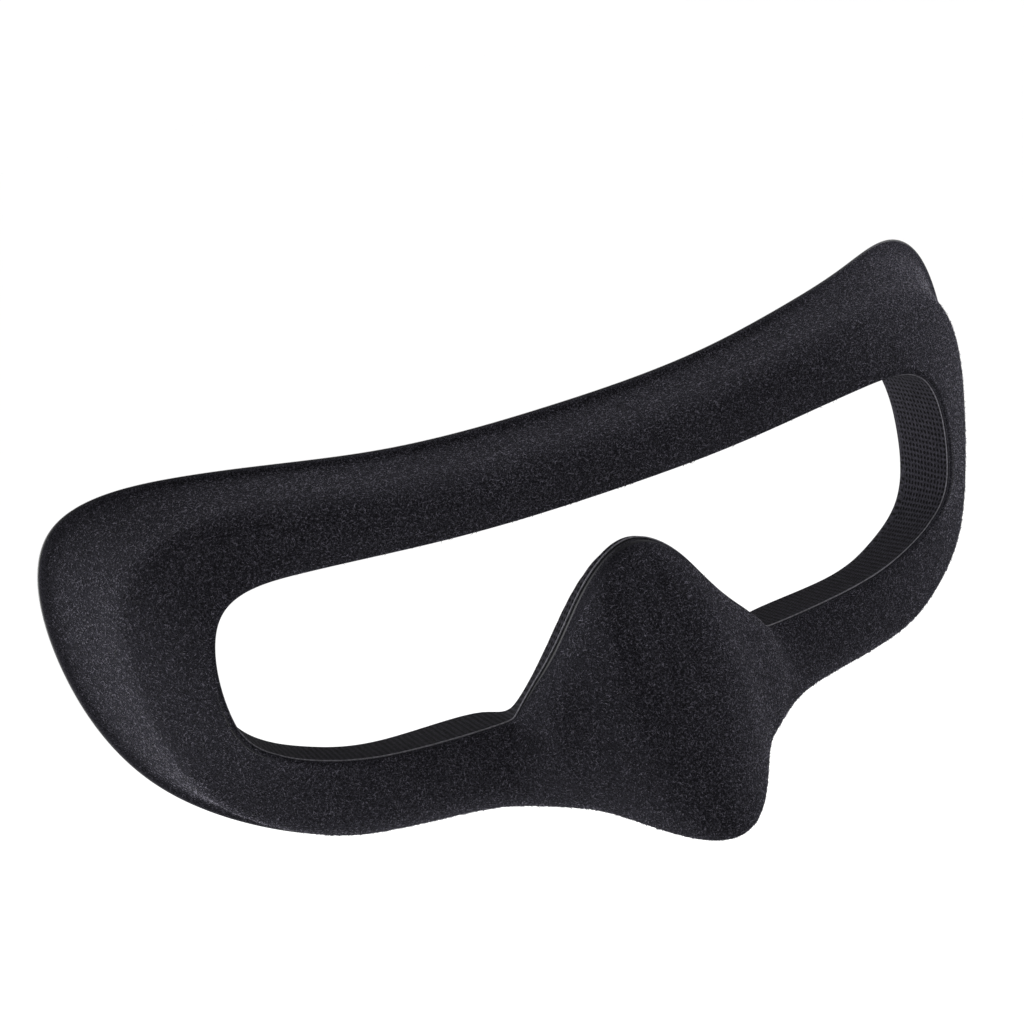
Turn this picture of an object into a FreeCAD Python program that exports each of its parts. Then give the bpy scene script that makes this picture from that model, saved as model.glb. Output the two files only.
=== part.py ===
import FreeCAD, Part
import os
from math import cos, radians, sin

from FreeCAD import Vector

os.makedirs("parts", exist_ok=True)

# Soft face pad of a pair of video goggles. X runs across the face, -Y towards the goggles, +Y towards
# the wearer, Z up. The origin is the middle of the seat on the goggles. Left and right are mirrored.

# name, value in mm, meaning
DIMENSIONS = [
    ("rim_half_width", 92.0, "outer rim, from the middle to the temple"),
    ("ridge_half_width", 82.0, "ridge where the front turns into the outer wall"),
    ("opening_half_width", 70.0, "opening, from the middle to its side"),
    ("brow_depth", 16.0, "front to back at the middle of the brow"),
    ("temple_wrap", 20.0, "how far the wearer's side curves back at the temples"),
    ("opening_wrap", 10.0, "how far the seam of the opening would curve back at the rim"),
    ("ridge_wrap", 24.0, "how far the ridge curves back at the temples"),
    ("cheek_sweep", 6.0, "how far the lower temple lies behind the upper one"),
    ("sweep_level", 13.0, "height at which the sweep is nil"),
    ("sweep_height", 30.0, "height over which the sweep builds up"),
    ("nose_forward", 28.0, "how far the tip of the nose stands out from the seat"),
    ("nose_depth", 4.5, "front to back at the top edge of the nose"),
    ("nose_foot_depth", 7.5, "front to back where the nose joins the cheek"),
    ("pile_thickness", 1.0, "brushed loop-pile cover"),
    ("mesh_thickness", 0.6, "net cover"),
    ("web_thickness", 0.3, "hot-melt bond web"),
    ("seam_width", 1.5, "pressed inner edge, across the front"),
    ("seam_depth", 1.2, "pressed inner edge, down the opening wall"),
    ("flange_width", 2.0, "pressed outer edge, beyond the walls"),
    ("flange_thickness", 1.2, "pressed outer edge"),
]

# Half outlines from the top middle down to the foot of the nose: share of the half width, height in mm.

def half_outline(brow, crest, temple, foot, crest_share, foot_share, upper_power, lower_power):
    """Shares of the half width and heights, from the middle of the brow round the temple to the nose's foot."""
    points = [(0.0, brow), (crest_share / 2, brow + (crest - brow) / 4)]
    for angle in (0, 45, 90):
        across = sin(radians(angle))**(2 / upper_power)
        upward = max(cos(radians(angle)), 0.0)**(2 / upper_power) if angle < 90 else 0.0
        points.append((crest_share + (1 - crest_share) * across, temple + (crest - temple) * upward))
    for angle in (30, 50, 70, 90):
        across = cos(radians(angle))**(2 / lower_power) if angle < 90 else 0.0
        downward = sin(radians(angle))**(2 / lower_power)
        points.append((foot_share + (1 - foot_share) * across, temple - (temple - foot) * downward))
    return points


def nose_run(foot, forward, height, flare=2):
    """Distance from the middle, share of the nose's reach and height, from its foot to its middle."""
    points = []
    for way in (0, 0.35, 0.65, 1):
        eased = sin(radians(90) * way)**flare
        points.append((foot * (1 - way), forward[0] + (forward[1] - forward[0]) * eased,
                       height[0] + (height[1] - height[0]) * eased))
    return points


OPENING = half_outline(brow=16, crest=19, temple=-1, foot=-19, crest_share=0.75, foot_share=0.38,
                       upper_power=4, lower_power=2.5)
RIDGE = half_outline(brow=26, crest=31, temple=7, foot=-32, crest_share=0.7, foot_share=0.42,
                     upper_power=3, lower_power=2.5)
RIM = half_outline(brow=30, crest=36, temple=6, foot=-37, crest_share=0.7, foot_share=0.36,
                   upper_power=4, lower_power=2)

# The nose continues each outline: distance from the middle, share of nose_forward, height in mm.
NOSE_OPENING = nose_run(foot=23, forward=(0.05, 0.3), height=(-16, 9), flare=1.3)
NOSE_RIDGE = nose_run(foot=24, forward=(0.1, 1.0), height=(-34, -43))
NOSE_RIM = nose_run(foot=22, forward=(-0.2, 0.8), height=(-35, -38))

STATIONS = 72          # cross-sections round the whole pad
NOSE_FROM_STATION = 26  # the foam is in two pieces, and the nose piece starts here
OVERRUN = 8            # points by which each outline runs on past its start

doc = FreeCAD.newDocument("face_pad")
sheet = doc.addObject("Spreadsheet::Sheet", "dims")
for row, (alias, value, meaning) in enumerate(DIMENSIONS, start=1):
    sheet.set("A%d" % row, alias)
    sheet.set("B%d" % row, "%g" % value)
    sheet.set("C%d" % row, meaning)
    sheet.setAlias("B%d" % row, alias)
doc.recompute()


def dim(alias):
    return float(getattr(sheet, alias))


def sweep(x, z):
    """Depth that the front gains towards the lower temples."""
    share = abs(x) / dim("rim_half_width")
    return dim("cheek_sweep") * share**2 * (dim("sweep_level") - z) / dim("sweep_height")


def opening_y(x, z):
    return sweep(x, z) + dim("opening_wrap") * (abs(x) / dim("rim_half_width"))**4


def ridge_y(x, z):
    return sweep(x, z) + dim("ridge_wrap") * (abs(x) / dim("rim_half_width"))**4


def wearer_y(x):
    return dim("brow_depth") + dim("temple_wrap") * (abs(x) / dim("rim_half_width"))**3.2


def half_line(outline, half_width, depth, nose):
    """Points of one outline on the +X half, top middle to nose middle."""
    points = []
    for share, z in outline:
        x = share * half_width
        points.append(Vector(x, depth(x, z), z))
    for x, forward, z in nose:
        points.append(Vector(x, -forward * dim("nose_forward"), z))
    return points


def wearer_half_line(opening_half):
    """Wearer-side edge of the opening: straight behind its front edge."""
    ring_count = len(OPENING)
    nose_count = len(NOSE_OPENING)
    points = [Vector(p.x, wearer_y(p.x), p.z) for p in opening_half[:ring_count]]
    for index, p in enumerate(opening_half[ring_count:]):
        share = index / (nose_count - 1)
        depth = dim("nose_foot_depth") * (1 - share) + dim("nose_depth") * share
        points.append(Vector(p.x, p.y + depth, p.z))
    return points


def mirrored_loop(half):
    """The half line and its mirror image, as one closed run of points."""
    return half + [Vector(-p.x, p.y, p.z) for p in reversed(half[1:-1])]


def closed_curve(points, parameters):
    curve = Part.BSplineCurve()
    curve.interpolate(Points=points, PeriodicFlag=True, Parameters=parameters)
    return curve


def overrun_curve(points, parameters):
    """Line through a closed run of points that runs on past both ends, so that it closes smoothly."""
    count = len(points)
    indices = range(-OVERRUN, count + OVERRUN + 1)
    curve = Part.BSplineCurve()
    curve.interpolate(Points=[points[index % count] for index in indices],
                      Parameters=[parameters[index % count] + parameters[-1] * (index // count)
                                  for index in indices])
    return curve


opening_half = half_line(OPENING, dim("opening_half_width"), opening_y, NOSE_OPENING)
ridge_half = half_line(RIDGE, dim("ridge_half_width"), ridge_y, NOSE_RIDGE)
rim_half = half_line(RIM, dim("rim_half_width"), lambda x, z: wearer_y(x), NOSE_RIM)
loops = [mirrored_loop(half)
         for half in (opening_half, ridge_half, rim_half, wearer_half_line(opening_half))]

# All four lines share one parameter, so that equal values lie on one cross-section.
parameters = [0.0]
for index in range(len(loops[0])):
    following = (index + 1) % len(loops[0])
    step = sum(loop[index].distanceToPoint(loop[following]) for loop in loops)
    parameters.append(parameters[-1] + step**0.6)
lines = [overrun_curve(loop, parameters) for loop in loops]


def toward(start, end, distance):
    return start + (end - start).normalize() * distance


def inner_corner(corner, before, after, from_before, from_after):
    """Corner moved inwards by two wall thicknesses: from the side towards before, and the side after."""
    to_before = (before - corner).normalize()
    to_after = (after - corner).normalize()
    sine = to_before.cross(to_after).Length
    return corner + (to_before * from_after + to_after * from_before) * (1 / sine)


def inner_section(front, ridge, back, wearer, cover, lining):
    """The cross-section shrunk by a cover on its goggles side and a lining on its wearer's side."""
    return {
        "front": inner_corner(front, wearer, ridge, lining, cover),
        "ridge": inner_corner(ridge, front, back, cover, cover),
        "back": inner_corner(back, ridge, wearer, cover, lining),
        "wearer": inner_corner(wearer, back, front, lining, lining),
    }


def section(parameter):
    """Every named point of the laminate's cross-section at one place round the pad."""
    front, ridge, rim, wearer = [line.value(parameter) for line in lines]
    back = toward(rim, wearer, dim("flange_width"))
    pile = dim("pile_thickness")
    mesh = dim("mesh_thickness")
    web = dim("web_thickness")
    under = inner_section(front, ridge, back, wearer, pile, mesh)
    foam = inner_section(front, ridge, back, wearer, pile + web, mesh + web)
    flange_root = toward(back, ridge, dim("flange_thickness"))
    points = {
        "front": front, "ridge": ridge, "back": back, "wearer": wearer,
        "rim": rim, "rim_top": rim + (flange_root - back), "flange_root": flange_root,
        "seam_front": toward(front, ridge, dim("seam_width")),
        "seam_wall": toward(front, wearer, dim("seam_depth")),
    }
    points.update({"under_" + name: point for name, point in under.items()})
    points.update({"foam_" + name: point for name, point in foam.items()})
    return points


total = parameters[-1]
station_parameters = [total * index / STATIONS for index in range(STATIONS)]
sections = [section(parameter) for parameter in station_parameters]


def ring_curve(name):
    points = [cut[name] for cut in sections]
    return closed_curve(points, station_parameters + [total])


def solid_from(faces):
    shell = Part.Shell(faces)
    if not shell.isClosed():
        shell.sewShape()
    solid = Part.Solid(shell)
    if solid.Volume < 0:
        solid.reverse()
    return solid


def walls_between(edges):
    """A ruled wall from each edge to the next one, all the way round."""
    return [Part.makeRuledSurface(edge, edges[(index + 1) % len(edges)])
            for index, edge in enumerate(edges)]


def ring_solid(names):
    """Solid ring whose cross-section is the polygon of the named points."""
    return solid_from(walls_between([ring_curve(name).toShape() for name in names]))


def run_solid(names, first_station, last_station):
    """Solid run of the ring between two stations, with a cap at each end. It has four sides."""
    ends = [total * station / STATIONS for station in (first_station, last_station)]
    curves = [ring_curve(name) for name in names]
    faces = walls_between([curve.toShape(ends[0], ends[1]) for curve in curves])
    for end in ends:
        corners = [curve.value(end) for curve in curves]
        faces.append(Part.makeRuledSurface(Part.makeLine(corners[0], corners[1]),
                                           Part.makeLine(corners[3], corners[2])))
    return solid_from(faces)


def add_layer(label, shape, **bound):
    """A moulded sub-part. Its named sizes follow the sheet."""
    feature = doc.addObject("Part::Feature", label)
    feature.Label = label
    for name, alias in bound.items():
        feature.addProperty("App::PropertyLength", name, "Laminate")
        feature.setExpression(name, "dims." + alias)
    feature.Shape = shape
    feature.Placement = FreeCAD.Placement()
    return feature


FOAM = ["foam_front", "foam_ridge", "foam_back", "foam_wearer"]
nose_start = NOSE_FROM_STATION
nose_end = STATIONS - NOSE_FROM_STATION

parts = [
    add_layer("pile_cover",
              ring_solid(["seam_front", "ridge", "flange_root", "under_back", "under_ridge", "under_front"]),
              Thickness="pile_thickness"),
    add_layer("front_bond_web",
              ring_solid(["under_front", "under_ridge", "under_back", "foam_back", "foam_ridge", "foam_front"]),
              Thickness="web_thickness"),
    add_layer("foam_core", run_solid(FOAM, nose_end, nose_start + STATIONS), BrowDepth="brow_depth"),
    add_layer("nose_foam", run_solid(FOAM, nose_start, nose_end), NoseDepth="nose_depth"),
    add_layer("rear_bond_web",
              ring_solid(["under_back", "under_wearer", "under_front", "foam_front", "foam_wearer", "foam_back"]),
              Thickness="web_thickness"),
    add_layer("mesh_cover",
              ring_solid(["seam_wall", "wearer", "back", "under_back", "under_wearer", "under_front"]),
              Thickness="mesh_thickness"),
    add_layer("opening_seam",
              ring_solid(["front", "seam_front", "under_front", "seam_wall"]),
              Width="seam_width", Depth="seam_depth"),
    add_layer("rim_flange",
              ring_solid(["rim", "rim_top", "flange_root", "under_back", "back"]),
              Width="flange_width", Thickness="flange_thickness"),
]

doc.recompute()
for part in parts:
    states = [str(state) for state in part.State]
    shape = part.Shape
    if "Invalid" in states or "Error" in states or shape.isNull() or not shape.isValid():
        raise RuntimeError("%s is not a valid solid" % part.Label)
    shape.exportStep("parts/%s.step" % part.Label)
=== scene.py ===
from math import cos, pi, radians, sin

import bpy
import numpy as np
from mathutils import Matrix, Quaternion, Vector


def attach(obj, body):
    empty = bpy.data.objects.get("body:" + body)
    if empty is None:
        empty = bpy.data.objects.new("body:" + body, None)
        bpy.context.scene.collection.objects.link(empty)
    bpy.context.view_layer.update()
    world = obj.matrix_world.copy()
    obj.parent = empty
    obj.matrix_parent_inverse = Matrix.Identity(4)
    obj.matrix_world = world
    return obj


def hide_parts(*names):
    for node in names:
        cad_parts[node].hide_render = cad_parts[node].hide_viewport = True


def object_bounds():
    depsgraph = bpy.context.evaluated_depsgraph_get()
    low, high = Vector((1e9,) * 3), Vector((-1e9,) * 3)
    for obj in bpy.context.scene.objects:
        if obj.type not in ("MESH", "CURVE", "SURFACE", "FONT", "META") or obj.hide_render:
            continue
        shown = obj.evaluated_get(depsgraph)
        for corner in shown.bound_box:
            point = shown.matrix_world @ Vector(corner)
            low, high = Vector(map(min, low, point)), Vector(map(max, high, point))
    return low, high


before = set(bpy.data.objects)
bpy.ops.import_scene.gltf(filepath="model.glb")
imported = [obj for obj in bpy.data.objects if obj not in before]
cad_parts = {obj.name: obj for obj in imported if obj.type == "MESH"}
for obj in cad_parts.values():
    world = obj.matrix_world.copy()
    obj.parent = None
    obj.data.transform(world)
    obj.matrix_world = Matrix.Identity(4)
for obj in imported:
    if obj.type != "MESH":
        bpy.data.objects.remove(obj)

MM = 0.001
cad_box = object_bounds()

# ------------------------------------------------------------------ the pad's lines, in millimetres

RIM_HALF = 92.0
RIDGE_HALF = 82.0
OPENING_HALF = 70.0
NOSE_FORWARD = 28.0
BROW_DEPTH = 16.0
TEMPLE_WRAP = 20.0
TEMPLE_WRAP_POWER = 3.2
RIDGE_WRAP = 24.0
OPENING_WRAP = 10.0
CHEEK_SWEEP = 6.0
SWEEP_LEVEL = 13.0
SWEEP_HEIGHT = 30.0
NOSE_DEPTH = 4.5
NOSE_FOOT_DEPTH = 7.5
PILE = 1.0
NET = 0.6
WEB = 0.3
FLANGE_WIDTH = 2.0
FLANGE_THICKNESS = 1.2
STATIONS = 900           # cross-sections round the pad
UPPER_ANGLES = (0, 45, 90)
LOWER_ANGLES = (30, 50, 70, 90)
NOSE_WAY = (0, 0.35, 0.65, 1)


def corner_shares(angle, power):
    """Rising and falling share, from 0 to 1, at this angle of a rounded corner."""
    falling = cos(radians(angle)) if angle < 90 else 0.0
    return sin(radians(angle))**(2 / power), falling**(2 / power)


def half_outline(brow, crest, temple, foot, crest_share, foot_share, upper_power, lower_power):
    """Shares of the half width and heights, from the middle of the brow round to the nose's foot."""
    points = [(0.0, brow), (crest_share / 2, brow + (crest - brow) / 4)]
    for angle in UPPER_ANGLES:
        across, upward = corner_shares(angle, upper_power)
        points.append((crest_share + (1 - crest_share) * across, temple + (crest - temple) * upward))
    for angle in LOWER_ANGLES:
        downward, across = corner_shares(angle, lower_power)
        points.append((foot_share + (1 - foot_share) * across, temple - (temple - foot) * downward))
    return points


def nose_run(foot, forward, height, flare=2):
    """Distance from the middle, share of the nose's reach and height, from its foot to its middle."""
    points = []
    for way in NOSE_WAY:
        eased = sin(radians(90) * way)**flare
        points.append((foot * (1 - way), forward[0] + (forward[1] - forward[0]) * eased,
                       height[0] + (height[1] - height[0]) * eased))
    return points


OPENING = half_outline(brow=16, crest=19, temple=-1, foot=-19, crest_share=0.75, foot_share=0.38,
                       upper_power=4, lower_power=2.5)
RIDGE = half_outline(brow=26, crest=31, temple=7, foot=-32, crest_share=0.7, foot_share=0.42,
                     upper_power=3, lower_power=2.5)
RIM = half_outline(brow=30, crest=36, temple=6, foot=-37, crest_share=0.7, foot_share=0.36,
                   upper_power=4, lower_power=2)
NOSE_OPENING = nose_run(foot=23, forward=(0.05, 0.3), height=(-16, 9), flare=1.3)
NOSE_RIDGE = nose_run(foot=24, forward=(0.1, 1.0), height=(-34, -43))
NOSE_RIM = nose_run(foot=22, forward=(-0.2, 0.8), height=(-35, -38))


def sweep(x, z):
    return CHEEK_SWEEP * (x / RIM_HALF)**2 * (SWEEP_LEVEL - z) / SWEEP_HEIGHT


def opening_y(x, z):
    return sweep(x, z) + OPENING_WRAP * (x / RIM_HALF)**4


def ridge_y(x, z):
    return sweep(x, z) + RIDGE_WRAP * (x / RIM_HALF)**4


def wearer_y(x, z=0.0):
    return BROW_DEPTH + TEMPLE_WRAP * abs(x / RIM_HALF)**TEMPLE_WRAP_POWER


def half_line(outline, half_width, depth, nose):
    ring = [(share * half_width, depth(share * half_width, z), z) for share, z in outline]
    return np.array(ring + [(x, -forward * NOSE_FORWARD, z) for x, forward, z in nose])


def wearer_half_line(opening):
    line = opening.copy()
    ring = len(OPENING)
    line[:ring, 1] = [wearer_y(x) for x in line[:ring, 0]]
    line[ring:, 1] += np.linspace(NOSE_FOOT_DEPTH, NOSE_DEPTH, len(NOSE_OPENING))
    return line


def mirrored_loop(half):
    return np.vstack([half, half[-2:0:-1] * (-1, 1, 1)])


def periodic_spline(knots, points, where):
    """Smooth closed cubic curve through the points, read at the given parameters."""
    count = len(points)
    step = np.diff(knots)
    rise = (np.roll(points, -1, 0) - points) / step[:, None]
    matrix = np.zeros((count, count))
    for i in range(count):
        matrix[i, i - 1] += step[i - 1]
        matrix[i, i] += 2 * (step[i - 1] + step[i])
        matrix[i, (i + 1) % count] += step[i]
    bend = np.linalg.solve(matrix, 6 * (rise - np.roll(rise, 1, 0)))
    span = np.clip(np.searchsorted(knots, where, side="right") - 1, 0, count - 1)
    after = (span + 1) % count
    h = step[span][:, None]
    b = (where - knots[span])[:, None] / h
    a = 1 - b
    curve = a * points[span] + b * points[after]
    return curve + ((a**3 - a) * bend[span] + (b**3 - b) * bend[after]) * h**2 / 6


def unit(vectors):
    return vectors / np.linalg.norm(vectors, axis=-1, keepdims=True)


def toward(start, end, distance):
    return start + unit(end - start) * distance


def ramp(value, start, end):
    """Share from 0 at the start to 1 at the end."""
    return np.clip((value - start) / (end - start), 0, 1)


opening_half = half_line(OPENING, OPENING_HALF, opening_y, NOSE_OPENING)
halves = [opening_half,
          half_line(RIDGE, RIDGE_HALF, ridge_y, NOSE_RIDGE),
          half_line(RIM, RIM_HALF, wearer_y, NOSE_RIM),
          wearer_half_line(opening_half)]
loops = [mirrored_loop(half) for half in halves]
chords = sum(np.linalg.norm(np.roll(loop, -1, 0) - loop, axis=1) for loop in loops)
KNOT_POWER = 0.6
knots = np.concatenate([[0.0], np.cumsum(chords**KNOT_POWER)])


def spread_stations():
    """Parameters evenly spaced along the ridge and the opening together."""
    fine = np.linspace(0, knots[-1], 6001)
    track = periodic_spline(knots, loops[1], fine)
    inner = periodic_spline(knots, loops[0], fine)
    run = np.linalg.norm(np.diff(track, axis=0), axis=1) + np.linalg.norm(np.diff(inner, axis=0), axis=1)
    run = np.concatenate([[0.0], np.cumsum(run)])
    return np.interp(np.arange(STATIONS) / STATIONS * run[-1], run, fine)


station = spread_stations()
front, ridge, rim, wearer = [periodic_spline(knots, loop, station) for loop in loops]

# the +X temple's top corner is bent up and back a little
CORNER = (79.0, 32.0)
CORNER_REACH = 13.0
CORNER_LIFT = np.array([1.1, 1.2, 2.7])
RIDGE_SHARE_OF_LIFT = (0.5, 2.2, 0.5)
corner_gap = (rim[:, 0] - CORNER[0])**2 + (rim[:, 2] - CORNER[1])**2
corner_share = np.exp(-corner_gap / CORNER_REACH**2)[:, None]
rim = rim + CORNER_LIFT * corner_share
ridge = ridge + CORNER_LIFT * RIDGE_SHARE_OF_LIFT * corner_share
back = toward(rim, wearer, FLANGE_WIDTH)

# the lining of the opening's lower edge falls a little towards the wearer
LOWER_EDGE_RISE = 1.5
LOWER_EDGE_HEIGHTS = (-4.0, -12.0)
BESIDE_NOSE = (16.0, 24.0)
lower_share = ramp(front[:, 2], *LOWER_EDGE_HEIGHTS) * ramp(np.abs(front[:, 0]), *BESIDE_NOSE)
front[:, 2] += LOWER_EDGE_RISE * lower_share


# ------------------------------------------------------------------ cross-section paths

def rounded_line(corners, cuts):
    """Dense rows of points along the corners, the inner ones rounded."""
    runs = []
    fine = np.linspace(0, 1, 13)[None, :, None]
    last = corners[0]
    for before, here, after, cut in zip(corners, corners[1:], corners[2:], cuts):
        reach_in = np.minimum(cut, 0.48 * np.linalg.norm(here - before, axis=1, keepdims=True))
        reach_out = np.minimum(cut, 0.48 * np.linalg.norm(after - here, axis=1, keepdims=True))
        start = here + unit(before - here) * reach_in
        end = here + unit(after - here) * reach_out
        runs.append(last[:, None] * (1 - fine) + start[:, None] * fine)
        bend = start[:, None] * (1 - fine)**2 + 2 * here[:, None] * fine * (1 - fine) + end[:, None] * fine**2
        runs.append(bend)
        last = end
    runs.append(last[:, None] * (1 - fine) + corners[-1][:, None] * fine)
    return np.concatenate(runs, axis=1)


def row_lengths(grid):
    """Distance of each point from the first one of its row."""
    steps = np.linalg.norm(np.diff(grid, axis=1), axis=2)
    return np.concatenate([np.zeros((len(grid), 1)), np.cumsum(steps, axis=1)], axis=1)


def even_rows(line, count):
    """The same lines with a number of points at equal steps."""
    length = row_lengths(line)
    share = np.linspace(0, 1, count)
    out = np.empty((len(line), count, 3))
    for row in range(len(line)):
        for axis in range(3):
            out[row, :, axis] = np.interp(share * length[row, -1], length[row], line[row, :, axis])
    return out


def rounded_loop(corners, cut, count):
    middle = (corners[-1] + corners[0]) / 2
    ring = [middle] + list(corners) + [middle]
    return even_rows(rounded_line(ring, [cut] * len(corners)), count + 1)[:, :-1]


def grid_normals(grid):
    """Unit normals of a grid that is closed along its first axis."""
    along = np.roll(grid, -1, 0) - np.roll(grid, 1, 0)
    across = np.gradient(grid, axis=1)
    return unit(np.cross(along, across))


def swell(grid, start, end, height, power=1.0):
    """Grid raised along its normals between two distances along each row."""
    share = np.clip((row_lengths(grid) - start) / np.maximum(end - start, 0.1), 0, 1)
    return grid + grid_normals(grid) * (height * np.sin(pi * share)**power)[..., None]


def shoulder_out(grid, start, end, depth):
    """Grid pushed towards the goggles, steeply behind its first edge and fading out to the far one."""
    share = np.clip((row_lengths(grid) - start) / np.maximum(end - start, 0.1), 0, 1)
    out = grid.copy()
    out[..., 1] -= depth * np.sin(pi * np.sqrt(share))
    return out


def smooth_grid(grid, weight, passes, along=1.0, across=1.0):
    """Relaxed grid whose first and last rows stay where they are."""
    out = grid.copy()
    for _ in range(passes):
        shift = along * ((np.roll(out, -1, 0) + np.roll(out, 1, 0)) / 2 - out)
        shift[:, 1:-1] += across * ((out[:, 2:] + out[:, :-2]) / 2 - out[:, 1:-1])
        shift[:, 0] = 0
        shift[:, -1] = 0
        out += 0.5 * shift * weight
    return out


# ------------------------------------------------------------------ mesh making

def grid_faces(stations, rows, offset=0, flip=False):
    i, j = np.meshgrid(np.arange(stations), np.arange(rows - 1), indexing="ij")
    n = (i + 1) % stations
    quads = np.stack([i * rows + j, n * rows + j, n * rows + j + 1, i * rows + j + 1], -1).reshape(-1, 4)
    if flip:
        quads = quads[:, ::-1]
    return quads + offset


def outward(points, faces):
    """Faces turned so that the closed mesh holds a positive volume."""
    a, b, c, d = (points[faces[:, k]] for k in range(4))
    volume = (np.einsum("ij,ij->i", a, np.cross(b, c)) + np.einsum("ij,ij->i", a, np.cross(c, d))).sum()
    return faces if volume > 0 else faces[:, ::-1]


def make_object(name, points, faces, caps=()):
    mesh = bpy.data.meshes.new(name)
    mesh.from_pydata((points * MM).tolist(), [], faces.tolist() + list(caps))
    mesh.shade_smooth()
    obj = bpy.data.objects.new(name, mesh)
    bpy.context.scene.collection.objects.link(obj)
    return obj


def skin(name, outer, inner):
    """Closed shell from two grids round the ring with the same stations."""
    stations, rows = outer.shape[:2]
    inner_rows = inner.shape[1]
    base = stations * rows
    points = np.vstack([outer.reshape(-1, 3), inner.reshape(-1, 3)])
    faces = [grid_faces(stations, rows), grid_faces(stations, inner_rows, base, flip=True)]
    i = np.arange(stations)
    n = (i + 1) % stations
    for outer_row, inner_row, turn in ((0, 0, False), (rows - 1, inner_rows - 1, True)):
        strip = np.stack([i * rows + outer_row, base + i * inner_rows + inner_row,
                          base + n * inner_rows + inner_row, n * rows + outer_row], -1)
        faces.append(strip[:, ::-1] if turn else strip)
    return make_object(name, points, outward(points, np.vstack(faces)))


def closed_ring(name, grid):
    """Solid ring from closed cross-sections."""
    stations, rows = grid.shape[:2]
    i, j = np.meshgrid(np.arange(stations), np.arange(rows), indexing="ij")
    n, k = (i + 1) % stations, (j + 1) % rows
    quads = np.stack([i * rows + j, n * rows + j, n * rows + k, i * rows + k], -1).reshape(-1, 4)
    points = grid.reshape(-1, 3)
    return make_object(name, points, outward(points, quads))


def capped_run(name, grid):
    """Solid run of closed cross-sections with a cap at each end."""
    stations, rows = grid.shape[:2]
    i, j = np.meshgrid(np.arange(stations - 1), np.arange(rows), indexing="ij")
    k = (j + 1) % rows
    quads = np.stack([i * rows + j, (i + 1) * rows + j, (i + 1) * rows + k, i * rows + k], -1).reshape(-1, 4)
    points = grid.reshape(-1, 3)
    quads = outward(points, quads)
    turned = quads[0][1] < quads[0][0] + rows
    first = list(range(rows))
    last = [(stations - 1) * rows + row for row in range(rows)]
    return make_object(name, points, quads, [first, last[::-1]] if turned else [first[::-1], last])


def lay_net(obj, grid, turn_row):
    """Net directions in mm: round the opening on the lining, straight up and across on the wearer's face."""
    stations, rows = grid.shape[:2]
    lining = grid[:, (turn_row + rows) // 2]
    run = np.concatenate([[0.0], np.cumsum(np.linalg.norm(np.roll(lining, -1, 0) - lining, axis=1))])
    run *= round(run[-1] / NET_PITCH) * NET_PITCH / run[-1]
    across = np.concatenate([[0.0], np.cumsum(np.linalg.norm(np.diff(grid, axis=1), axis=2).mean(0))])
    mesh = obj.data
    vertex = np.empty(len(mesh.loops), np.int64)
    mesh.loops.foreach_get("vertex_index", vertex)
    face = np.repeat(np.arange(len(mesh.polygons)), 4)
    seen = vertex < stations * rows
    station_of = np.where(seen, vertex // rows, 0)
    row_of = np.where(seen, vertex % rows, 0)
    face_row = np.minimum.reduceat(row_of, np.arange(0, len(vertex), 4))[face]
    face_first = np.minimum.reduceat(station_of, np.arange(0, len(vertex), 4))[face]
    face_last = np.maximum.reduceat(station_of, np.arange(0, len(vertex), 4))[face]
    wraps = (face_last - face_first > 1) & (station_of == 0)
    round_u = run[np.where(wraps, stations, station_of)]
    flat = grid[station_of, row_of]
    on_lining = face_row >= turn_row
    u = np.where(on_lining, round_u, flat[:, 0])
    v = np.where(on_lining, across[row_of], flat[:, 2])
    layer = mesh.uv_layers.new(name="net_mm")
    layer.data.foreach_set("uv", np.stack([u, v], -1).astype(np.float32).ravel())


# ------------------------------------------------------------------ materials

NET_PITCH = 1.05         # from hole to hole, round the opening
NET_ROW = 0.95           # from row to row


def rgb(value):
    return tuple(value) + (1.0,)


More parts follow.
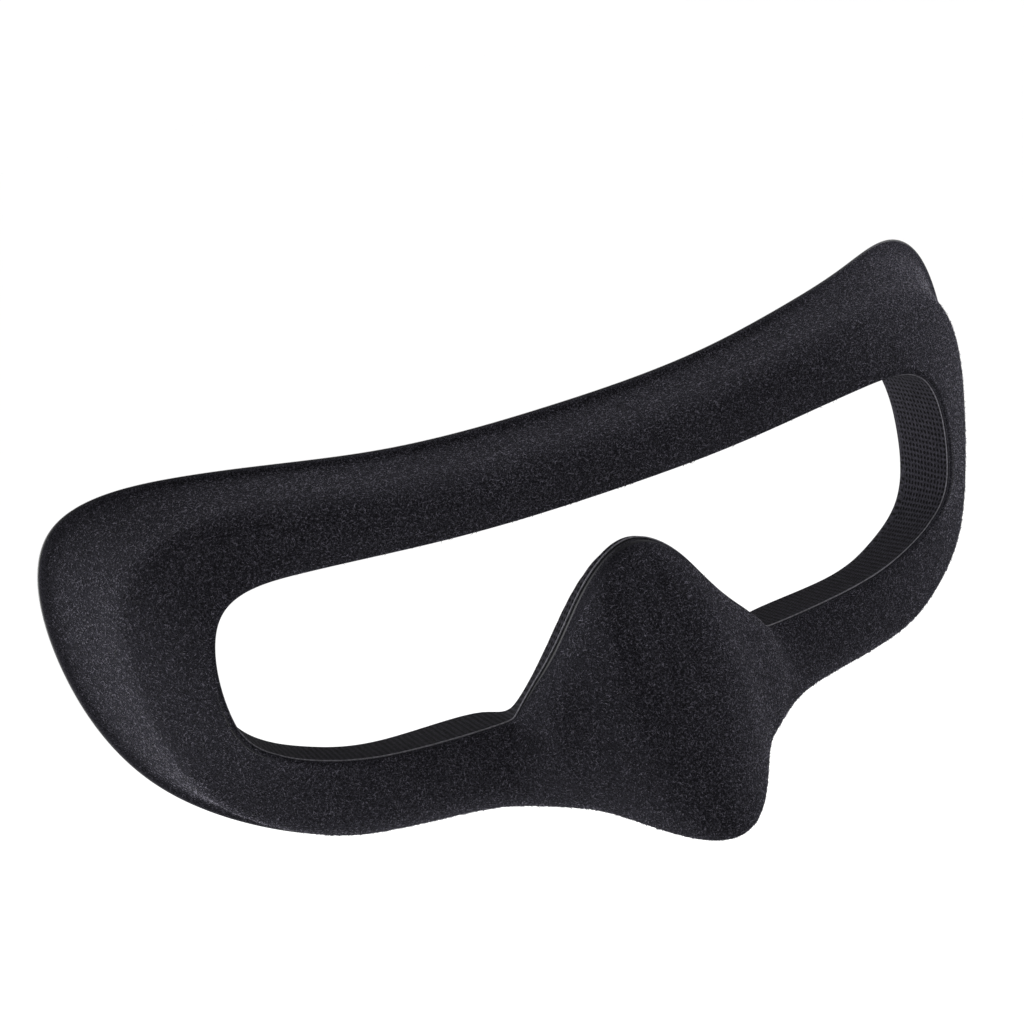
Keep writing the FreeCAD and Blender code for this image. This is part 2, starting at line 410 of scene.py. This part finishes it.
class Shader:
    """Principled material with a few node shortcuts."""

    def __init__(self, name, colour, roughness, specular=0.2, sheen=0.0, sheen_roughness=0.6):
        self.material = bpy.data.materials.new(name)
        self.material.use_nodes = True
        self.nodes = self.material.node_tree.nodes
        self.links = self.material.node_tree.links
        self.principled = self.nodes["Principled BSDF"]
        self.set("Base Color", rgb(colour))
        self.set("Roughness", roughness)
        self.set("Specular IOR Level", specular)
        self.set("Sheen Weight", sheen)
        self.set("Sheen Roughness", sheen_roughness)

    def set(self, socket, value):
        self.principled.inputs[socket].default_value = value

    def feed(self, socket, output):
        self.links.new(output, self.principled.inputs[socket])

    def place(self, kind="Object"):
        return self.nodes.new("ShaderNodeTexCoord").outputs[kind]

    def noise(self, where, scale, detail=0.0, roughness=0.5):
        node = self.nodes.new("ShaderNodeTexNoise")
        node.inputs["Scale"].default_value = scale
        node.inputs["Detail"].default_value = detail
        node.inputs["Roughness"].default_value = roughness
        self.links.new(where, node.inputs["Vector"])
        return node.outputs["Fac"]

    def math(self, operation, *values):
        node = self.nodes.new("ShaderNodeMath")
        node.operation = operation
        for socket, value in zip(node.inputs, values):
            if isinstance(value, (int, float)):
                socket.default_value = value
            else:
                self.links.new(value, socket)
        return node.outputs[0]

    def step(self, value, low, high, start=0.0, end=1.0):
        node = self.nodes.new("ShaderNodeMapRange")
        node.interpolation_type = "SMOOTHSTEP"
        self.links.new(value, node.inputs["Value"])
        for socket, number in (("From Min", low), ("From Max", high), ("To Min", start), ("To Max", end)):
            node.inputs[socket].default_value = number
        return node.outputs["Result"]

    def mix(self, share, first, second):
        node = self.nodes.new("ShaderNodeMix")
        node.data_type = "RGBA"
        self.links.new(share, node.inputs["Factor"])
        for name, value in (("A", first), ("B", second)):
            socket = [s for s in node.inputs if s.name == name and s.type == "RGBA"][0]
            if isinstance(value, tuple):
                socket.default_value = rgb(value)
            else:
                self.links.new(value, socket)
        return [s for s in node.outputs if s.type == "RGBA"][0]

    def bump(self, height, distance, strength=1.0):
        node = self.nodes.new("ShaderNodeBump")
        node.inputs["Strength"].default_value = strength
        node.inputs["Distance"].default_value = distance
        self.links.new(height, node.inputs["Height"])
        self.feed("Normal", node.outputs["Normal"])


def pile_material():
    s = Shader("loop_pile", (0.01, 0.01, 0.012), 1.0, specular=0.0, sheen=0.038)
    s.set("Sheen Tint", rgb((0.86, 0.86, 1.0)))
    where = s.place()
    coarse = s.noise(where, 4000.0, 2.0, 0.8)
    # fibre specks: their pale colour paints glints on the pile's loops, and they also raise the bump
    curl_one = s.math("ABSOLUTE", s.math("SUBTRACT", s.noise(where, 3900.0, 1.0, 0.5), 0.5))
    curl_two = s.math("ABSOLUTE", s.math("SUBTRACT", s.noise(where, 5400.0, 1.0, 0.5), 0.47))
    curl = s.math("MINIMUM", curl_one, curl_two)
    fibre_and_glint = s.step(curl, 0.006, 0.036, 1.0, 0.0)
    broken = s.step(s.noise(where, 2900.0, 2.0, 0.6), 0.48, 0.58)
    fibre_and_glint = s.math("MULTIPLY", fibre_and_glint, broken)
    ground = s.mix(s.step(coarse, 0.42, 0.60), (0.0006, 0.0006, 0.0008), (0.0125, 0.0120, 0.0158))
    # pale fibre colour over the ground: painted glints on the loops, over the pile's random tone
    s.feed("Base Color", s.mix(fibre_and_glint, ground, (0.092, 0.088, 0.110)))
    height = s.math("ADD", s.math("MULTIPLY", fibre_and_glint, 0.6), coarse)
    s.bump(height, 0.00055, 1.0)
    return s.material


def fibre_material():
    s = Shader("pile_fibre", (0.02, 0.02, 0.024), 0.8, specular=0.1, sheen=0.03)
    # per-fibre random tone; the pale fibres are painted glints
    tone_and_glint = s.noise(s.place(), 2600.0, 1.0, 0.5)
    s.feed("Base Color", s.mix(s.step(tone_and_glint, 0.42, 0.60), (0.004, 0.004, 0.005), (0.105, 0.100, 0.127)))
    return s.material


def net_material():
    s = Shader("net", (0.018, 0.018, 0.020), 0.9, specular=0.02, sheen=0.003)
    split = s.nodes.new("ShaderNodeSeparateXYZ")
    s.links.new(s.place("UV"), split.inputs[0])
    row = s.math("DIVIDE", split.outputs["Y"], NET_ROW)
    column = s.math("DIVIDE", split.outputs["X"], NET_PITCH)
    du = s.math("SUBTRACT", s.math("FRACT", column), 0.5)
    dv = s.math("SUBTRACT", s.math("FRACT", row), 0.5)
    reach = s.math("SQRT", s.math("ADD", s.math("MULTIPLY", du, du), s.math("MULTIPLY", dv, dv)))
    yarn = s.step(reach, 0.18, 0.40)
    grain = s.noise(s.place(), 2400.0, 2.0, 0.6)
    thread = s.mix(s.step(grain, 0.35, 0.65), (0.0050, 0.0048, 0.0064), (0.0155, 0.0148, 0.0190))
    s.feed("Base Color", s.mix(yarn, (0.0010, 0.0010, 0.0013), thread))
    s.bump(s.math("ADD", yarn, s.math("MULTIPLY", grain, 0.3)), 0.00025, 0.9)
    return s.material


def pressed_material():
    s = Shader("pressed_edge", (0.010, 0.010, 0.012), 0.65, specular=0.12, sheen=0.008)
    grain = s.noise(s.place(), 2600.0, 3.0, 0.6)
    s.feed("Base Color", s.mix(s.step(grain, 0.3, 0.7), (0.003, 0.003, 0.004), (0.009, 0.009, 0.011)))
    s.bump(grain, 0.00006, 0.7)
    return s.material


def bead_material():
    # the bead's pale colour is a painted highlight: the bright line along the seam, with a random grain in it
    s = Shader("seam_bead", (0.040, 0.040, 0.043), 0.7, specular=0.06)
    grain = s.noise(s.place(), 2600.0, 2.0, 0.6)
    s.feed("Base Color", s.mix(s.step(grain, 0.3, 0.7), (0.055, 0.054, 0.061), (0.120, 0.117, 0.132)))
    return s.material


def foam_material():
    s = Shader("foam", (0.030, 0.030, 0.033), 0.95, specular=0.1)
    cells = s.noise(s.place(), 1800.0, 1.0, 0.5)
    s.feed("Base Color", s.mix(s.step(cells, 0.35, 0.6), (0.008, 0.008, 0.009), (0.045, 0.045, 0.049)))
    s.bump(cells, 0.0003, 0.9)
    return s.material


def web_material():
    s = Shader("bond_web", (0.45, 0.45, 0.40), 0.5, specular=0.3)
    threads = s.noise(s.place(), 700.0, 2.0, 0.6)
    s.feed("Base Color", s.mix(threads, (0.30, 0.30, 0.27), (0.60, 0.60, 0.55)))
    return s.material


def floor_material():
    s = Shader("floor", (0.95, 0.95, 0.95), 0.9, specular=0.1)
    return s.material


def finish_piece(obj, material, node):
    obj.data.materials.append(material)
    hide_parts(node)
    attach(obj, "root")


# ------------------------------------------------------------------ pieces

pile_mat = pile_material()
net_mat = net_material()
pressed_mat = pressed_material()
foam_mat = foam_material()
web_mat = web_material()

PILE_ROLL = 1.0          # the pile rolls this far over the edge of the opening
NOSE_PILE_ROLL = 0.5
STRIP_WIDTH = 0.15       # pressed strip between the pile's edge and the bead
NOSE_STRIP_WIDTH = 1.2
BEAD_RADIUS = 0.15
SIDE_BEAD_RADIUS = 0.12
PILE_ROWS = 72
NET_ROWS = 64
UNDER_ROWS = 13          # rows of a cover's hidden side
NET_TURN = 0.62          # share of the net's rows that lie on the wearer's face
NOSE_SWELL = 0.6
NOSE_SHOULDER = 3.2
NOSE_FROM = 26 / 72      # share of the way round at which the foam's nose piece starts
NOSE_SIDES = (30.0, 18.0)
NOSE_FLANKS = (2.0, 8.0)
NOSE_FEET = (27.0, 20.0)
TEMPLE_FROM = (50.0, 75.0)
OPENING_SIDE = (52.0, 62.0)
EDGE_CUT = 1.6           # rounding of the opening's edge
RIDGE_CUT = 5.5
TEMPLE_RIDGE_LESS = 3.7
NOSE_RIDGE_CUT = 4.0
VALLEY_CUT = 4.5
NOSE_VALLEY_LESS = 2.5
SHOULDER_CUT = 0.4
WEARER_CUT = 3.2
CROWN_SHARE = 0.075      # crown of the front, as a share of its width
CROWN_LIMIT = 2.0
HOLLOW_SHARE = 0.02      # hollow of the outer wall, as a share of its width
HOLLOW_LIMIT = 0.5
REAR_SHARE = 0.06
REAR_LIMIT = 1.6
SMOOTHING_PASSES = 70
WEB_GAP = 0.03
FOAM_FROM_ROW = 9        # the foam stays clear of the sharp wedges at both ends of a cover
ROW_STEP = 3
FIBRES = 49000
FIBRE_LENGTH = 0.62
FIBRE_WIDTH = 0.13
FIBRE_SEED = 11
FIBRE_SINK = 0.05
BEAD_SIDES = 10

column = np.linalg.norm(ridge - front, axis=1, keepdims=True)
wall = np.linalg.norm(back - ridge, axis=1, keepdims=True)
nose_share = ramp(np.abs(ridge[:, :1]), *NOSE_SIDES) * (ridge[:, 2:] < 0)
nose_share = nose_share * nose_share * (3 - 2 * nose_share)

lip_lift = unit(toward(back, ridge, FLANGE_THICKNESS) - back) * FLANGE_THICKNESS
flange_root = back + lip_lift
lip_top = rim + lip_lift * 0.5
pile_roll = PILE_ROLL + (NOSE_PILE_ROLL - PILE_ROLL) * nose_share
seam_start = toward(front, wearer, pile_roll)

temple_share = ramp(np.abs(ridge[:, :1]), *TEMPLE_FROM)
ridge_cut = (RIDGE_CUT - TEMPLE_RIDGE_LESS * temple_share) * (1 - nose_share) + NOSE_RIDGE_CUT * nose_share
valley = flange_root + lip_lift * 0.2
shoulder = flange_root * 0.14 + lip_top * 0.86 + lip_lift * 0.22
pile_end = flange_root * 0.06 + lip_top * 0.94 - lip_lift * 0.2
pile_line = rounded_line([seam_start, front, ridge, valley, shoulder, pile_end],
                         [EDGE_CUT, ridge_cut, VALLEY_CUT - NOSE_VALLEY_LESS * nose_share, SHOULDER_CUT])
pile_outer = even_rows(pile_line, PILE_ROWS)
crown = np.clip(CROWN_SHARE * column, 0, CROWN_LIMIT) * (1 - 0.8 * temple_share)
hollow = np.clip(HOLLOW_SHARE * wall, 0, HOLLOW_LIMIT) * (1 - nose_share)
pile_outer = swell(pile_outer, 0.3, column + 1.0, crown)
pile_outer = swell(pile_outer, column + 2.0, column + wall, -hollow)
pile_outer = smooth_grid(pile_outer, nose_share[:, :, None], SMOOTHING_PASSES, along=1.0, across=0.3)
pile_outer = swell(pile_outer, 1.0, column + 2.0, NOSE_SWELL * nose_share)
flank_share = ramp(np.abs(front[:, :1]), *NOSE_FLANKS) * ramp(np.abs(front[:, :1]), *NOSE_FEET)
pile_outer = shoulder_out(pile_outer, 0.8, column, NOSE_SHOULDER * flank_share * nose_share)
pile_rows_under = np.linspace(0, PILE_ROWS - 1, UNDER_ROWS).round().astype(int)
pile_normal = grid_normals(pile_outer)


def under_pile(depth, rows):
    return (pile_outer - pile_normal * depth)[:, rows]


pile = skin("pile_cover", pile_outer, under_pile(PILE, pile_rows_under))
finish_piece(pile, pile_mat, "pile_cover")


def fibre_spikes(grid, count, length, width):
    """Short pointed fibres that lean out of a grid, each a closed four-sided spike."""
    rng = np.random.default_rng(FIBRE_SEED)
    step_along = np.roll(grid, -1, 0) - grid
    cell = np.linalg.norm(np.cross(step_along[:, :-1], np.diff(grid, axis=1)), axis=2)
    cell[:, :2] = 0
    cell[:, -3:] = 0
    chance = np.cumsum(cell.ravel())
    picked = np.searchsorted(chance, rng.random(count) * chance[-1])
    i, j = np.divmod(picked, grid.shape[1] - 1)
    a, b = rng.random((2, count, 1))
    n = (i + 1) % len(grid)
    near = grid[i, j] * (1 - a) + grid[n, j] * a
    far = grid[i, j + 1] * (1 - a) + grid[n, j + 1] * a
    foot = near * (1 - b) + far * b
    up = pile_normal[i, j]
    along = unit(grid[n, j] - grid[i, j])
    across = np.cross(up, along)
    heading = rng.random((count, 1)) * 2 * pi
    lean = np.cos(heading) * along + np.sin(heading) * across
    side = -np.sin(heading) * along + np.cos(heading) * across
    rise = 0.12 + 0.55 * rng.random((count, 1))**2
    reach = length * (0.55 + 0.9 * rng.random((count, 1)))
    foot = foot - up * FIBRE_SINK
    tip = foot + reach * unit(lean + rise * up)
    points = np.stack([foot + side * width / 2, foot - side * width / 2, foot + up * width * 0.8, tip], 1)
    corners = np.arange(count)[:, None] * 4
    faces = np.concatenate([corners + np.array(f) for f in ((0, 1, 2), (0, 3, 1), (1, 3, 2), (2, 3, 0))])
    return points.reshape(-1, 3), faces


fibre_points, fibre_faces = fibre_spikes(pile_outer, FIBRES, FIBRE_LENGTH, FIBRE_WIDTH)
fibres = make_object("pile_fibres", fibre_points, fibre_faces)
finish_piece(fibres, fibre_material(), "pile_cover")

strip_width = STRIP_WIDTH + (NOSE_STRIP_WIDTH - STRIP_WIDTH) * nose_share
strip_end = toward(front, wearer, pile_roll + strip_width)
side_share = ramp(np.abs(front[:, :1]), *OPENING_SIDE)
bead_radius = BEAD_RADIUS + (SIDE_BEAD_RADIUS - BEAD_RADIUS) * side_share
bead_end = toward(front, wearer, pile_roll + strip_width + 2 * bead_radius)
net_line = rounded_line([back, wearer, bead_end], [WEARER_CUT])
net_outer = even_rows(net_line, NET_ROWS)
rear = np.linalg.norm(wearer - back, axis=1, keepdims=True)
net_outer = swell(net_outer, 0.0, rear, np.clip(REAR_SHARE * rear, 0, REAR_LIMIT))
net_normal = grid_normals(net_outer)
net_rows_under = np.linspace(0, NET_ROWS - 1, UNDER_ROWS).round().astype(int)


def under_net(depth, rows):
    return (net_outer - net_normal * depth)[:, rows]


net = skin("mesh_cover", net_outer, under_net(NET, net_rows_under))
lay_net(net, net_outer, int(NET_ROWS * NET_TURN))
finish_piece(net, net_mat, "mesh_cover")

flange = closed_ring("rim_flange", rounded_loop([back, rim, lip_top, flange_root], 0.45, 20))
finish_piece(flange, pressed_mat, "rim_flange")

ring_tangent = unit(np.roll(front, -1, 0) - np.roll(front, 1, 0))
into = unit(np.cross(wearer - front, ring_tangent)) * -1.0
strip_start = toward(front, wearer, pile_roll - 0.3)
seam_ring = [strip_start + into * 0.9, strip_start + into * 0.15, strip_end + into * 0.15,
             bead_end + into * 0.15, bead_end + into * 0.9]
seam = closed_ring("opening_seam", rounded_loop(seam_ring, 0.25, 26))
finish_piece(seam, pressed_mat, "opening_seam")

bead_middle = (strip_end + bead_end) / 2 - into * 0.10
bead_side = unit(wearer - front)
turn = np.linspace(0, 2 * pi, BEAD_SIDES, endpoint=False)[None, :, None]
bead_spoke = np.cos(turn) * bead_side[:, None] + np.sin(turn) * into[:, None]
bead_grid = bead_middle[:, None] + bead_radius[:, None] * bead_spoke
bead = closed_ring("seam_bead", bead_grid)
finish_piece(bead, bead_material(), "opening_seam")

front_rows = np.arange(FOAM_FROM_ROW, PILE_ROWS - 11, ROW_STEP)
rear_rows = np.arange(FOAM_FROM_ROW, NET_ROWS - 7, ROW_STEP)
foam_ring = np.concatenate([under_pile(PILE + WEB, front_rows), under_net(NET + WEB, rear_rows)], axis=1)
in_nose = np.flatnonzero((station > knots[-1] * NOSE_FROM) & (station < knots[-1] * (1 - NOSE_FROM)))
in_ring = np.arange(in_nose[-1], in_nose[0] + STATIONS + 1) % STATIONS
foam = capped_run("foam_core", foam_ring[in_ring])
finish_piece(foam, foam_mat, "foam_core")
nose_foam = capped_run("nose_foam", foam_ring[in_nose])
finish_piece(nose_foam, foam_mat, "nose_foam")

front_web = skin("front_bond_web", under_pile(PILE + WEB_GAP, front_rows), under_pile(PILE + WEB, front_rows))
finish_piece(front_web, web_mat, "front_bond_web")
rear_web = skin("rear_bond_web", under_net(NET + WEB_GAP, rear_rows), under_net(NET + WEB, rear_rows))
finish_piece(rear_web, web_mat, "rear_bond_web")

# ------------------------------------------------------------------ stage, light, camera

FLOOR_DROP = 0.45
FLOOR_SIZE = 80.0
WORLD_STRENGTH = 1.06
floor_level = cad_box[0].z - FLOOR_DROP
bpy.ops.mesh.primitive_plane_add(size=FLOOR_SIZE, location=(0, 0, floor_level))
floor = bpy.context.object
floor.name = "floor"
floor.data.materials.append(floor_material())


def area_light(name, location, size, power, target=(0, 0, 0)):
    data = bpy.data.lights.new(name, "AREA")
    data.shape = "RECTANGLE"
    data.size = size[0]
    data.size_y = size[1]
    data.energy = power
    light = bpy.data.objects.new(name, data)
    light.location = location
    light.rotation_mode = "QUATERNION"
    light.rotation_quaternion = (Vector(target) - Vector(location)).to_track_quat("-Z", "Y")
    bpy.context.scene.collection.objects.link(light)
    return light


area_light("left_box", (-0.8, 0.72, 0.05), (0.4, 0.4), 26.0)
area_light("low_left_box", (-0.20, 0.04, -0.42), (0.12, 0.12), 1.6)
area_light("right_box", (1.0, -0.1, 0.1), (0.5, 0.5), 4.2)
area_light("corner_box", (0.24, 0.03, 0.12), (0.08, 0.08), 0.60, target=(0.08, 0.01, 0.03))

world = bpy.data.worlds.new("studio")
bpy.context.scene.world = world
world.use_nodes = True
world.node_tree.nodes["Background"].inputs["Color"].default_value = (1, 1, 1, 1)
world.node_tree.nodes["Background"].inputs["Strength"].default_value = WORLD_STRENGTH
bpy.context.scene.view_settings.view_transform = "Standard"

CAMERA_TARGET = Vector((-16.4, 0.0, 18.0)) * MM
CAMERA_AZIMUTH = radians(-17.15)
CAMERA_ELEVATION = radians(14.5)
CAMERA_ROLL = radians(-13.95)
CAMERA_DISTANCE = 310.3 * MM
CAMERA_LENS = 65.46

away = Vector((sin(CAMERA_AZIMUTH) * cos(CAMERA_ELEVATION),
               -cos(CAMERA_AZIMUTH) * cos(CAMERA_ELEVATION),
               sin(CAMERA_ELEVATION)))
camera_data = bpy.data.cameras.new("camera")
camera_data.lens = CAMERA_LENS
camera_data.sensor_width = 36.0
camera_data.clip_start = 0.01
camera = bpy.data.objects.new("camera", camera_data)
camera.location = CAMERA_TARGET + away * CAMERA_DISTANCE
camera.rotation_mode = "QUATERNION"
camera.rotation_quaternion = (-away).to_track_quat("-Z", "Y") @ Quaternion((0, 0, 1), CAMERA_ROLL)
bpy.context.scene.collection.objects.link(camera)
bpy.context.scene.camera = camera
